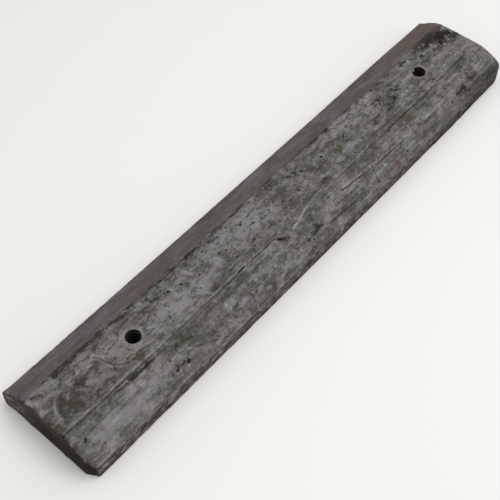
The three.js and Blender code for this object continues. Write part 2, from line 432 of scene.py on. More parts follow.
def markLines(s):
    x, y, up = s["x"] + lineWander * s["coarse"], s["y"] + lineWander * s["lumps"], s["up"]
    for line, step in laps:
        off = toLine(x, y, line)
        strong = lapLook["weakest"] + (1 - lapLook["weakest"]) * patchy(s, lapLook["strongerWhere"])
        s["push"] -= step * bell(off, lapLook["stepHalf"]) * up * strong
        s["push"] += lapLook["swellRise"] * bell(off - lapLook["swellOff"], lapLook["swellHalf"]) * up
        stain(s, "brown", lapLook["brown"] * strong * bell(off, lapLook["brownHalf"]) * up)
        pale = bell(off - lapLook["paleOff"], lapLook["paleHalf"]) * up
        stain(s, "pale", lapLook["pale"] * pale * patchy(s, lapLook["paleWhere"]))
    for line, depth, dark in cracks:
        cut = bell(toLine(x, y, line), crackLook["half"]) * up * patchy(s, crackLook["openWhere"])
        s["push"] -= depth * cut
        stain(s, "dirt", dark * cut)
    for line, strong in scratches:
        scratch = bell(toLine(x, y, line), scratchLook["half"]) * up * patchy(s, scratchLook["openWhere"])
        s["push"] += scratchLook["rise"] * strong * scratch
        stain(s, "pale", strong * scratch)


# The thumb-like dent at the near end. Its wall is steep towards that end and the left flank, and fades out
# towards the near hole. Four numbers are a direction in plan, and where a change along it starts and ends
dent = {
    "place": (-407.5, -10.5, 26, 21), "ragged": {"lumps": 0.06, "coarse": 0.03}, "depth": 1.6,
    "steep": (-0.8, 0.6, -14, 4), "steepWall": (-1.0, -0.75), "slowWall": (-1.5, -0.3),
    "grime": 0.44, "grimeReach": (-1.1, -0.7),
    "grimeWhere": (-0.5, 0.5, {"coarse": 1, "lumps": 1}),
    # the rim's pale side is a painted highlight, and the shade round the rest of it is painted shade
    "rimAt": 1.04, "rimHalf": 0.045, "rimRise": 0.4, "rimPale": 0.8, "litSide": (-0.45, 0.9, 6, 16),
    "paleWhere": (-0.5, 0.1, {"lumps": 1, "coarse": 0.7}),
    "shade": 0.5, "shadeAt": 0.93, "shadeHalf": 0.1, "shadeLost": 0.5,
}


def sinkDent(s):
    dx, dy = s["x"] - dent["place"][0], s["y"] - dent["place"][1]
    r = spot(s["x"], s["y"], dent["place"]) + mix(s, dent["ragged"])
    alongX, alongY, start, end = dent["steep"]
    steep = ease(alongX * dx + alongY * dy, start, end)
    bowl = steep * ease(-r, *dent["steepWall"]) + (1 - steep) * ease(-r, *dent["slowWall"])
    s["push"] -= dent["depth"] * bowl * s["up"]
    stain(s, "dirt", dent["grime"] * ease(-r, *dent["grimeReach"]) * patchy(s, dent["grimeWhere"]))
    # painted highlight: the rim is painted pale on its side that faces the left flank, and painted shade
    # darkens it elsewhere
    alongX, alongY, start, end = dent["litSide"]
    litSide = ease(alongX * dx + alongY * dy, start, end)
    rim = bell(r - dent["rimAt"], dent["rimHalf"]) * s["up"]
    s["push"] += dent["rimRise"] * rim * steep
    stain(s, "pale", dent["rimPale"] * rim * litSide * patchy(s, dent["paleWhere"]))
    shade = bell(r - dent["shadeAt"], dent["shadeHalf"]) * steep * (1 - dent["shadeLost"] * litSide) * s["up"]
    stain(s, "dirt", dent["shade"] * shade)


# Broken-out spots: middle x, middle y, reach along, reach across, a turn for some, depth, how dark
chips = [
    (404, 21, 15, 9, 35, 2.6, 0.5), (390, 10, 9, 6, 30, 1.4, 0.5), (380, 27, 12, 4, 5, 1.2, 0.5),
    (417, 12, 8, 12, 1.6, 0.5), (-64, -41, 5, 2.2, -35, 2.4, 1), (-137, -34.6, 8, 1.7, 5, 2.4, 1),
    (-292, -67, 4.5, 2.6, 15, 1.6, 0.85), (-273, -68, 4.5, 2.2, 10, 1.8, 1),
    (-433, -53.3, 4.2, 1.7, 50, 1.4, 0.8), (262, 3, 6, 2.2, 10, 1.4, 0.8), (258, 11, 4, 1.6, 35, 1.2, 0.8),
    (270, 18, 2.5, 1.6, 20, 1.2, 0.7), (-224, 13.5, 3, 2.6, 1.8, 0.95), (-205, 9, 2.4, 1.8, 20, 1.4, 0.8),
    (55, -20.5, 2.4, 3.6, 10, 1.5, 0.8), (350, -66, 5, 3, 20, 1.2, 0.6), (84, 7, 2.2, 2.2, 1.6, 0.85),
    (45, 11, 6, 4, -40, 0.8, 0.5),
]
chipLook = {"ragged": {"coarse": 0.35, "fine": 0.22}, "wall": (-1.05, -0.45)}


def breakChips(s):
    for *place, depth, dark in chips:
        r = spot(s["x"], s["y"], place) + mix(s, chipLook["ragged"])
        bowl = ease(-r, *chipLook["wall"]) * s["up"]
        s["push"] -= depth * bowl
        stain(s, "dirt", dark * bowl)


# Small air holes, scattered by chance where the skin is open
airHoles = {
    # lowest x, highest x, lowest y, highest y, how many
    "fields": [(-255, -150, -28, 30, 34), (-150, -10, -28, 32, 110), (-10, 150, -28, 30, 26),
               (150, 420, -32, 32, 40), (-445, -310, -30, 30, 26), (-450, -200, -74, -38, 26),
               (-200, 60, -72, -38, 14), (60, 420, -74, -38, 60)],
    "small": 0.6, "large": 1.8, "rarity": 2.5, "drawnOut": (0.7, 1.7), "dark": (0.2, 0.7), "depth": 0.75,
    "margin": 5, "ragged": 0.5, "reach": 2, "seed": 11,
}


def pierceAirHoles(s):
    chance = np.random.default_rng(airHoles["seed"])
    x, y, margin = s["x"], s["y"], airHoles["margin"]
    for x0, x1, y0, y1, count in airHoles["fields"]:
        inside = (x > x0 - margin) & (x < x1 + margin) & (y > y0 - margin) & (y < y1 + margin)
        field = np.flatnonzero(inside & (s["up"] > 0.5))
        for _ in range(count):
            cx, cy = chance.uniform(x0, x1), chance.uniform(y0, y1)
            share = chance.uniform() ** airHoles["rarity"]
            radius = airHoles["small"] + (airHoles["large"] - airHoles["small"]) * share
            stretch, dark = chance.uniform(*airHoles["drawnOut"]), chance.uniform(*airHoles["dark"])
            r = np.hypot((x[field] - cx) / stretch, y[field] - cy) / radius
            r += airHoles["ragged"] * s["fine"][field]
            hole = np.exp(-r ** 3) * (r < airHoles["reach"])
            s["push"][field] -= airHoles["depth"] * radius * hole
            s["dirt"][field] = np.maximum(s["dirt"][field], dark * hole)


# Edges crumble, most at the far right corner. A pair is where a change starts and ends, in mm along one axis
arrises = {
    "proud": (0.12, 0.5), "crumbleWhere": (-0.1, 0.6, {"coarse": 1, "lumps": 0.6}),
    "rise": 0.7, "crumble": 1.0, "cornerLoss": 0.8, "cornerX": (330, 440), "cornerY": (10, -60),
    "tip": 1.6, "tipX": (-438, -448), "tipY": (62, 74),      # the sharp corner at the near end's left
    "fullX": (415, 440), "full": [(50, 16, 2.8), (-58, 20, 2.4)],   # the far end bulges: y, half width, rise
    "brownX": (12, 4), "brownWhere": (-0.3, 0.2, {"coarse": 1}),
}
lowerEdge = {   # the near end's lower edge is ragged, with two nubs left standing
    "z": (12, 2), "y": (76, 60), "nubs": (33, -30), "nubHalf": 4, "loss": 1.1, "lumpLoss": 0.5,
}
rightFoot = {"y": (6, 1), "z": (14, 3), "loss": 0.2, "wavy": {"lumps": 0.9, "coarse": 0.25}}
darkeningAt = {
    "corner": 0.75, "cornerY": (-54, -80), "cornerX": (230, 420),   # under the worn far arris
    # the sides are darker towards the bottom
    "foot": 0.75, "footZ": (24, 0), "footEven": 0.6, "footCoarse": 0.5,   # up from the ground
    "arris": 0.38, "arrisBrown": 0.3, "arrisOff": 1.5, "arrisHalf": 1.6,   # along the left arris
    "arrisWander": {"lumps": 1.2, "coarse": 0.8},
    "arrisWhere": (-0.3, 0.3, {"streak": 1, "lumps": 0.5}),
    "lip": 0.45, "lipX": (180, 320), "lipY": (-50, -60),
    "leftEdge": 0.35, "leftEdgeY": (70, 80), "leftEdgeWhere": (-0.3, 0.4, {"lumps": 1}),
}
nearFace = {   # the near end's face: brown under its rim, and black towards the right
    "x": (-300, -440), "brown": 0.75, "brownZ": (34, 46), "brownLumps": 6,
    "black": 0.55, "blackY": (-20, -50), "blackLumps": 14,
    "rim": 0.65, "rimX": (9, 5), "rimZ": (42, 50), "rimCoarse": 2.5,
    "rimWhere": (-0.4, 0.5, {"fine": 1, "coarse": 1}),
}


def wearArrises(s):
    x, y, z, halfLength, halfWidth = s["x"], s["y"], s["z"], form["halfLength"], form["halfWidth"]
    s["arris"] = ease(s["proud"], *arrises["proud"])
    corner = ease(x, *arrises["cornerX"]) * ease(y, *arrises["cornerY"])
    crumble = arrises["crumble"] * patchy(s, arrises["crumbleWhere"])
    s["push"] += s["arris"] * (arrises["rise"] - crumble - arrises["cornerLoss"] * corner)
    s["push"] += arrises["tip"] * ease(x, *arrises["tipX"]) * ease(y, *arrises["tipY"])
    bulge = sum(rise * bell(y - middle, half) for middle, half, rise in arrises["full"])
    s["push"] += bulge * ease(x, *arrises["fullX"]) * (1 - s["under"])
    start, end = arrises["brownX"]
    nearEdge = ease(x, start - halfLength, end - halfLength)
    stain(s, "brown", s["arris"] * nearEdge * patchy(s, arrises["brownWhere"]))

    nubs = sum(bell(y - middle, lowerEdge["nubHalf"]) for middle in lowerEdge["nubs"])
    loss = lowerEdge["loss"] + lowerEdge["lumpLoss"] * s["lumps"]
    low = ease(z, *lowerEdge["z"]) * nearEdge * (1 - np.clip(nubs, 0, 1))
    s["push"] -= loss * low * ease(y, *lowerEdge["y"])
    start, end = rightFoot["y"]
    foot = ease(y, start - halfWidth, end - halfWidth) * ease(z, *rightFoot["z"])
    s["push"] -= (rightFoot["loss"] + mix(s, rightFoot["wavy"])) * foot


def soil(s):
    x, y, z, look = s["x"], s["y"], s["z"], darkeningAt
    grime = look["corner"] * ease(y, *look["cornerY"]) * ease(x, *look["cornerX"]) * s["up"]
    uneven = look["footEven"] + look["footCoarse"] * s["coarse"]
    grime += look["foot"] * s["side"] * ease(z, *look["footZ"]) * uneven
    arrisY = form["halfTop"] + look["arrisOff"] + mix(s, look["arrisWander"])
    atArris = bell(y - arrisY, look["arrisHalf"]) * patchy(s, look["arrisWhere"])
    grime += look["arris"] * atArris
    grime += look["lip"] * s["side"] * ease(x, *look["lipX"]) * ease(y, *look["lipY"])
    grime += look["leftEdge"] * ease(y, *look["leftEdgeY"]) * patchy(s, look["leftEdgeWhere"]) * s["up"]
    stain(s, "dirt", grime)
    stain(s, "brown", look["arrisBrown"] * atArris)

    look = nearFace
    face = s["end"] * ease(x, *look["x"])
    stain(s, "brown", look["brown"] * face * ease(z + look["brownLumps"] * s["lumps"], *look["brownZ"]))
    stain(s, "dirt", look["black"] * face * ease(y - look["blackLumps"] * s["lumps"], *look["blackY"]))
    start, end = look["rimX"]
    rim = ease(x - look["rimCoarse"] * s["coarse"], start - form["halfLength"], end - form["halfLength"])
    stain(s, "brown", look["rim"] * rim * ease(z, *look["rimZ"]) * patchy(s, look["rimWhere"]))


# Hole rims, and a tongue of mortar that hangs into the far hole. Below the top, the holes' walls are painted
# near black as painted shade. Distances in mm run from the hole's wall
holeLook = {
    "wall": (1.2, -0.2), "wallDown": (0, 2.5), "collarOff": 3, "collarHalf": 2.5, "collarPale": 0.22,
    "tongueAngle": 108, "tongueHalf": 22, "tongueReach": (3, 0), "tongueDown": (3.4, 1.5),
    "tongueLength": 3.6, "tonguePale": 0.35,
}


def dressHoles(s):
    look, height = holeLook, form["height"]
    s["hole"] = np.zeros(len(s["x"]))
    for hx, radius in holes:
        off = np.hypot(s["x"] - hx, s["y"]) - radius
        down = height - s["z"]
        # the wall below the top gets the near-black painted shade
        s["hole"] = np.maximum(s["hole"], ease(off, *look["wall"]) * ease(down, *look["wallDown"]))
        stain(s, "pale", look["collarPale"] * bell(off - look["collarOff"], look["collarHalf"]) * s["up"])
    # off and down are now the far hole's
    angle = np.degrees(np.arctan2(s["y"], s["x"] - hx))
    tongue = bell(angle - look["tongueAngle"], look["tongueHalf"]) * ease(off, *look["tongueReach"])
    tongue *= ease(down, *look["tongueDown"])
    s["inward"] = look["tongueLength"] * tongue
    s["hole"] *= 1 - tongue
    stain(s, "pale", look["tonguePale"] * tongue)


# Patches of colour: middle x, middle y, reach along, reach across, a turn for some, strength
patches = {
    "skin": [   # whole cement skin, pale with a lilac cast
        (-232, -4, 55, 15, 5, 1.0), (-190, -14, 45, 12, 4, 1.0), (-262, -14, 40, 7, 12, 0.9),
        (-200, 16, 25, 9, 0.7), (-118, 17, 36, 13, 0.95), (-75, 10, 40, 18, 20, 1.0),
        (-42, -3, 24, 12, 0.7), (-150, 0, 12, 10, 0.8), (-95, -8, 26, 8, 0.6), (24, -8, 26, 10, 0.5),
        (48, 24, 20, 8, 0.3), (138, 26, 38, 8, 4, 0.95), (112, -14, 28, 7, 10, 0.8), (190, 22, 40, 8, 0.7),
        (170, -12, 50, 6, 0.55), (250, -22, 60, 5, 0.5), (-438, 14, 12, 12, 0.5), (-400, 24, 24, 6, 0.5),
        (-322, 0, 12, 9, 0.4), (-400, -60, 48, 9, 0.95), (-330, -60, 50, 8, 4, 0.9),
        (-345, -50, 30, 5, 0.5), (-98, -60, 34, 11, 0.6), (-150, -66, 40, 8, 0.6), (-200, -60, 50, 12, 0.4),
        (310, -60, 50, 6, 0.4), (90, -47, 26, 4, -5, 0.5),
    ],
    "algae": [   # olive film where water stands
        (-408, -6, 24, 16, 1.0), (-368, -6, 30, 18, 0.5), (-330, -22, 34, 9, 0.6), (-446, -22, 9, 16, 0.7),
        (-355, 24, 40, 7, 0.4), (-300, 24, 30, 9, 10, 0.75), (-262, 22, 30, 10, 5, 0.6),
        (-330, -40, 70, 4, 0.85), (-262, -45, 28, 7, 0.9), (-200, -40, 30, 6, 0.4), (112, -39, 22, 5, 0.9),
        (150, -44, 34, 5, 0.5), (-20, -42, 34, 6, 8, 0.45), (60, -68, 60, 8, 0.75),
        (-30, -58, 70, 12, 0.42), (215, -40, 22, 7, 0.9), (268, -36, 26, 6, 0.6), (344, 14, 14, 6, 0.5),
        (330, -38, 40, 5, 0.5), (385, 8, 18, 8, 0.8), (380, 38, 44, 8, 0.7), (430, 38, 14, 14, 0.5),
        (-215, 35, 60, 5, 0.9), (240, -62, 60, 8, 0.4), (360, -70, 40, 8, 0.5), (-20, 30, 60, 3, 0.4),
    ],
    "fresh": [   # newer mortar, pinkish, where the skin flaked off
        (-322, -8, 26, 11, 8, 0.9), (-334, 0, 15, 9, 0.9), (-300, 0, 17, 15, 0.8),
        (-366, -10, 26, 16, 0.75), (-392, -14, 12, 9, 0.6), (-352, 6, 20, 8, 0.4), (40, 26, 30, 8, 0.7),
        (12, 12, 14, 16, 30, 0.4), (300, -22, 60, 7, 0.5), (395, -10, 40, 16, 0.8), (420, -40, 20, 20, 0.7),
        (330, -52, 70, 8, 0.6), (230, -62, 60, 9, 0.5), (270, 20, 30, 8, 0.4), (-60, -62, 80, 9, 0.35),
        (40, -62, 70, 7, 0.35), (-270, -30, 24, 4, 0.4), (60, -52, 60, 5, 0.4),
    ],
    "soot": [   # black grime in worn hollows
        (404, 21, 26, 16, 20, 1.0), (408, 37, 30, 9, 0.75), (358, 20, 22, 5, 0.7), (420, 8, 12, 10, 0.9),
        (368, 12, 12, 7, 0.6), (352, 22, 16, 6, 0.6), (392, 33, 46, 5, 1.0), (-140, 34, 120, 2.6, 0.7),
        (120, 34.5, 160, 2, 0.6), (-345, 35, 90, 6, 1.0), (375, -60, 16, 9, 10, 0.8),
        (392, -48, 14, 6, 30, 0.5), (-22, -46, 20, 5, -20, 0.55), (5, -47, 12, 4, 0.5),
        (372, 26, 26, 7, 0.7), (330, 29, 34, 5, 0.55), (260, 5, 22, 6, 0.6), (215, 12, 30, 6, 0.5),
        (-248, 22, 26, 7, 0.45), (-255, -47, 22, 6, 0.6), (-285, -66, 22, 6, 0.5),
        (-27, -62.5, 25, 4.5, 0.7), (-2, -60, 14, 5, 0.5), (-130, 24, 26, 7, 0.45), (-170, 27, 34, 6, 0.5),
        (30, 18, 20, 10, 30, 0.35), (96, 8, 30, 8, 0.35), (-345, -39.5, 48, 2.6, 0.9),
        (-395, 8, 9, 13, 25, 0.5), (-386, 20, 8, 6, 40, 0.5), (236, -6, 40, 6, 0.4), (350, -66, 22, 7, 0.6),
        (-65, -42, 10, 5, -30, 0.6),
    ],
    "earth": [   # brown dust along the left flank, most at its far end
        (400, 62, 60, 18, 1.0), (330, 60, 60, 14, 0.7), (425, 44, 30, 12, 0.9), (230, 56, 60, 8, 0.5),
        (-250, 52, 60, 9, 0.6), (-60, 52, 50, 8, 0.5), (90, 54, 60, 8, 0.55),
    ],
    "rust": [
        (309.5, -8, 9, 6, -50, 1.3), (160, -70, 24, 7, 0.5), (398, 12, 9, 5, 30, 0.45),
        (388, 17, 8, 3, 0.4), (412, 26, 6, 5, 0.4),
    ],
}
patchEdge = (-1.7, -0.3)   # falls off slowly, so that the material can break its edge up
drawnMarks = {   # where strokes of the float show
    "from": (100, 220), "place": (-80, -24, 90, 11), "least": 0.3, "more": 0.7, "rightFlank": 0.6,
    "most": 1.2,
}


def paintPatches(s):
    drawn = ease(s["x"], *drawnMarks["from"]) + bell(spot(s["x"], s["y"], drawnMarks["place"]), 1)
    drawn = drawnMarks["least"] + drawnMarks["more"] * drawn + drawnMarks["rightFlank"] * s["rightFlank"]
    s["streaky"] = np.clip(drawn, 0, drawnMarks["most"]) * s["up"]
    for name, places in patches.items():
        field = np.zeros(len(s["x"]))
        for *place, strength in places:
            field = np.maximum(field, strength * ease(-spot(s["x"], s["y"], place), *patchEdge))
        s[name] = field * s["up"]


# What the material reads off the points besides the patches
maskNames = ("leftFlank", "rightFlank", "side", "end", "dirt", "pale", "brown", "hole", "streaky", "relief")

# How points are told apart by face, and what the finished surface keeps to
faces = {
    "up": (0.2, 0.6), "under": (0.5, 0.9), "endNormal": (0.5, 0.8), "endY": (76, 0),
    "frayed": [(9, 7.7, 2.5), (40, 2.8, 4)],   # size, seed, reach in mm
    "blur": 5, "blurX": (150, 350), "blurFrays": 0.25,   # the left arris is blurred at the far end
    "leftY": (-1, 4), "rightY": (-1, 2),   # from half of the top's width
}
finish = {
    "arrisRounds": 10, "reliefRounds": 6, "calmAtGroove": 0.6, "underShare": 0.2,
    "bow": 1.6, "bowMiddle": -0.7, "bandUp": 0.5, "band": 0.4,
}


def softLimit(value, limit, band):
    over = np.maximum(value - (limit - band), 0)
    return np.where(value > limit - band, limit - band + band * np.tanh(over / band), value)


def tellFaces(piece):
    p, normal = meshPoints(piece) / mm, meshPoints(piece, "normal")
    x, y, z = p.T.copy()
    up, under = ease(normal[:, 2], *faces["up"]), ease(-normal[:, 2], *faces["under"])
    side = (1 - up) * (1 - under)
    frayed = sum(reach * grain(p, size, seed) for size, seed, reach in faces["frayed"])
    blur = faces["blur"] * ease(x, *faces["blurX"])
    start, end = faces["leftY"]
    leftY = y + frayed * (1 + faces["blurFrays"] * blur) - form["halfTop"]
    left = ease(leftY, start - blur, end + blur) * up
    right = ease(-y - form["halfTop"], *faces["rightY"]) * up
    atEnd = ease(abs(normal[:, 0]), *faces["endNormal"]) * ease(y - frayed, *faces["endY"])
    return {
        "p": p, "normal": normal, "x": x, "y": y, "z": z, "up": up, "under": under, "side": side,
        "end": side * atEnd, "leftFlank": left, "rightFlank": right, "top": up * (1 - left) * (1 - right),
        "proud": standsProud(piece, finish["arrisRounds"]),
        **{name: np.zeros(len(p)) for name in ("push", "dirt", "pale", "brown")},
    }


def wear(piece):
    s = tellFaces(piece)
    for step in (roughCast, markGroove, markLines, sinkDent, breakChips, pierceAirHoles, wearArrises, soil,
                 dressHoles, paintPatches):
        step(s)
    calm = (1 - (1 - finish["underShare"]) * s["under"]) * (1 - s["hole"])
    p = s["p"] + s["normal"] * (s["push"] * calm)[:, None]
    hx = holes[-1][0]
    inward = s["inward"] / np.hypot(p[:, 0] - hx, p[:, 1])
    p[:, 0] -= inward * (p[:, 0] - hx)
    p[:, 1] -= inward * p[:, 1]
    # the whole stop is bent a little in plan
    p[:, 1] += finish["bowMiddle"] + finish["bow"] * (p[:, 0] / form["halfLength"]) ** 2
    # it lies flat, and stays inside its form's size
    p[:, 2] = softLimit(np.maximum(p[:, 2], 0), form["height"], finish["bandUp"])
    p[:, 0] = np.sign(p[:, 0]) * softLimit(abs(p[:, 0]), form["halfLength"], finish["band"])
    p[:, 1] = np.sign(p[:, 1]) * softLimit(abs(p[:, 1]), form["halfWidth"], finish["band"])
    movePoints(piece, p)
    # the material paints shade into the hollows of this relief and highlights onto its high spots
    relief = standsProud(piece, finish["reliefRounds"])
    s["relief"] = relief * (1 - s["arris"]) * (1 - finish["calmAtGroove"] * s["atGroove"])
    for name in (*maskNames, *patches):
        storeFloat(piece, name, s[name])


wear(concrete)
pick(concrete)
bpy.ops.object.shade_smooth()
print("block worn")

# Ribbed bar: two rows of crescent ribs that lean opposite ways, and a straight rib along each side
ribs = {
    "sides": 24, "cuts": (100, 4), "pitch": 6.5, "height": 0.5, "lean": 0.6, "width": 1.0, "fade": (0.1, 0.7),
    "edgeWidth": 0.16, "sharp": 50,
}


def ribbedBar(nodes):
    boxes = [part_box(node) for node in nodes]
    low, high = boxes[0]
    middle, length, radius = (low + high) / 2, high.x - low.x, (high.y - low.y) / 2
    bpy.ops.mesh.primitive_cylinder_add(
        vertices=ribs["sides"], radius=radius, depth=length, location=middle, rotation=(0, math.pi / 2, 0))
    piece = bpy.context.object
    bpy.ops.object.transform_apply()
    bpy.context.tool_settings.mesh_select_mode = (False, True, False)
    for cuts in ribs["cuts"]:
        x = meshPoints(piece)[:, 0]
        start, end = np.array([edge.vertices[:] for edge in piece.data.edges]).T
        piece.data.vertices.foreach_set("select", np.zeros(len(x), bool))
        piece.data.polygons.foreach_set("select", np.zeros(len(piece.data.polygons), bool))
        piece.data.edges.foreach_set("select", abs(x[start] - x[end]) > mm)
        bpy.ops.object.mode_set(mode="EDIT")
        bpy.ops.mesh.subdivide(number_cuts=cuts)
        bpy.ops.object.mode_set(mode="OBJECT")
    p = meshPoints(piece) / mm
    y, z = p[:, 1] - middle.y / mm, p[:, 2] - middle.z / mm
    angle = np.arctan2(z, y)
    upper = np.where(z > 0, 1, -1)
    lean = p[:, 0] + ribs["lean"] * radius / mm * angle * upper + np.where(z > 0, 0, ribs["pitch"] / 2)
    offRib = abs((lean / ribs["pitch"]) % 1 - 0.5) * ribs["pitch"]
    crescent = bell(offRib, ribs["width"]) * ease(abs(np.sin(angle)), *ribs["fade"])
    straight = bell(np.sin(angle), ribs["edgeWidth"])
    sink = ribs["height"] * (1 - np.maximum(crescent, straight)) / (radius / mm)
    p[:, 1] -= y * sink
    p[:, 2] -= z * sink
    movePoints(piece, p)
    pieces = [piece]
    for low, high in boxes[1:]:
        pick(piece)
        bpy.ops.object.duplicate()
        other = bpy.context.object
        other.location = (low + high) / 2 - middle
        bpy.ops.object.transform_apply()
        pieces.append(other)
    for piece, node in zip(pieces, nodes):
        piece.name = node.replace("reinforcing", "ribbed")
        pick(piece)
        bpy.ops.object.shade_smooth_by_angle(angle=math.radians(ribs["sharp"]))
    return pieces


barNodes = ["reinforcing_bar_left", "reinforcing_bar_right"]
bars = ribbedBar(barNodes)
print("bars ribbed")


def newMaterial(name):
    material = bpy.data.materials.new(name)
    material.use_nodes = True
    material.node_tree.nodes.clear()
    return material, material.node_tree


def finishMaterial(tree, **inputs):
    shader = addNode(tree, "BsdfPrincipled", inputs={name.replace("_", " "): v for name, v in inputs.items()})
    addNode(tree, "OutputMaterial", inputs={"Surface": shader})


# Precast concrete, cast in a steel form and left outdoors for years: dull, mottled, pitted, filmed with algae
concreteLook = {
    "paste": [(0.39, "#383733"), (0.5, "#5e5d5b"), (0.61, "#817f7d")],
    "hue": [(0.38, "#585b4f"), (0.62, "#736966")],
    "flank": [(0.34, "#383431"), (0.46, "#504c4a"), (0.56, "#615f5d"), (0.68, "#757174")],
    "flankHue": [(0.38, "#5c534a"), (0.5, "#595352"), (0.62, "#665b60")],
    "lip": [(0.34, "#262220"), (0.5, "#534c49"), (0.68, "#8f8884")],
    # the ends: near black, mostly painted shade over the face's own brown
    "end": [(0.36, "#0a0907"), (0.7, "#2a231d")],
    "sand": "#858482", "olive": "#35342b", "chalk": "#a19d97", "brown": "#392b23", "dirt": "#15130f",
    # painted shade: the concrete walls inside the holes are drawn near black
    "hole": "#020201",
    "noises": {   # size in mm, how far drawn out along the stop, detail, roughness, distortion
        "cloud": (42, 1, 3, 0.6, 0), "drift": (12, 4, 4, 0.65, 0.4), "hue": (26, 1.8, 3, 0.55, 0.4),
        "mottle": (10, 1.4, 4, 0.68, 0.6), "streak": (2.6, 24, 4, 0.65, 0), "grit": (3.4, 1, 2.5, 0.75, 0),
        "smear": (22, 2.2, 4.5, 0.66, 0.7)},
    "driftShare": 0.55, "hueShare": 0.35, "flankHueShare": 0.55,
    "oliveWhere": (0.51, 0.66), "oliveMost": 0.8, "oliveRight": -0.35,   # less of it on the right flank
    "sandWhere": (0.47, 0.3), "sandMost": 0.85,
    "films": {   # colour, most it covers, where it starts and ends, how far grit breaks it up
        "fresh": ("#7b7473", 0.62, 0.35, 0.9, 0.6), "algae": ("#424132", 0.62, 0.35, 0.9, 0.6),
        "skin": ("#807e81", 0.76, 0.46, 1.0, 2.2), "soot": ("#18180f", 0.8, 0.36, 0.95, 0.6),
        "rust": ("#5c4335", 0.6, 0.4, 1.0, 0.6), "earth": ("#634f48", 0.6, 0.35, 0.9, 0.6)},
    "edgeMottle": 3.0, "edgeDrift": 1.9, "edgeShift": -2.45,   # how far these two break up a film's edge
    "fullFrom": 0.3,
    "quietRight": 0.35, "quiet": -0.5,
    "speck": 2.0, "drawn": 2.2, "relief": 2.1, "darkest": 0.3, "palest": 1.6,
    "airHole": 6, "airHoleRim": (0.2, 0.06), "airHoleDark": 0.6, "airHoleWhere": (0.45, 0.55),
    "bump": 0.6, "bumpHeight": 0.5, "bumpHole": -0.8,
    "rough": 0.9, "bend": 1.5, "sheen": 0.2,   # a porous, dusty face has next to no gloss
}
colour = {"data_type": "RGBA"}
add = {"operation": "ADD"}
subtract = {"operation": "SUBTRACT"}
multiply = {"operation": "MULTIPLY"}
multiplyAdd = {"operation": "MULTIPLY_ADD"}
larger = {"operation": "MAXIMUM"}


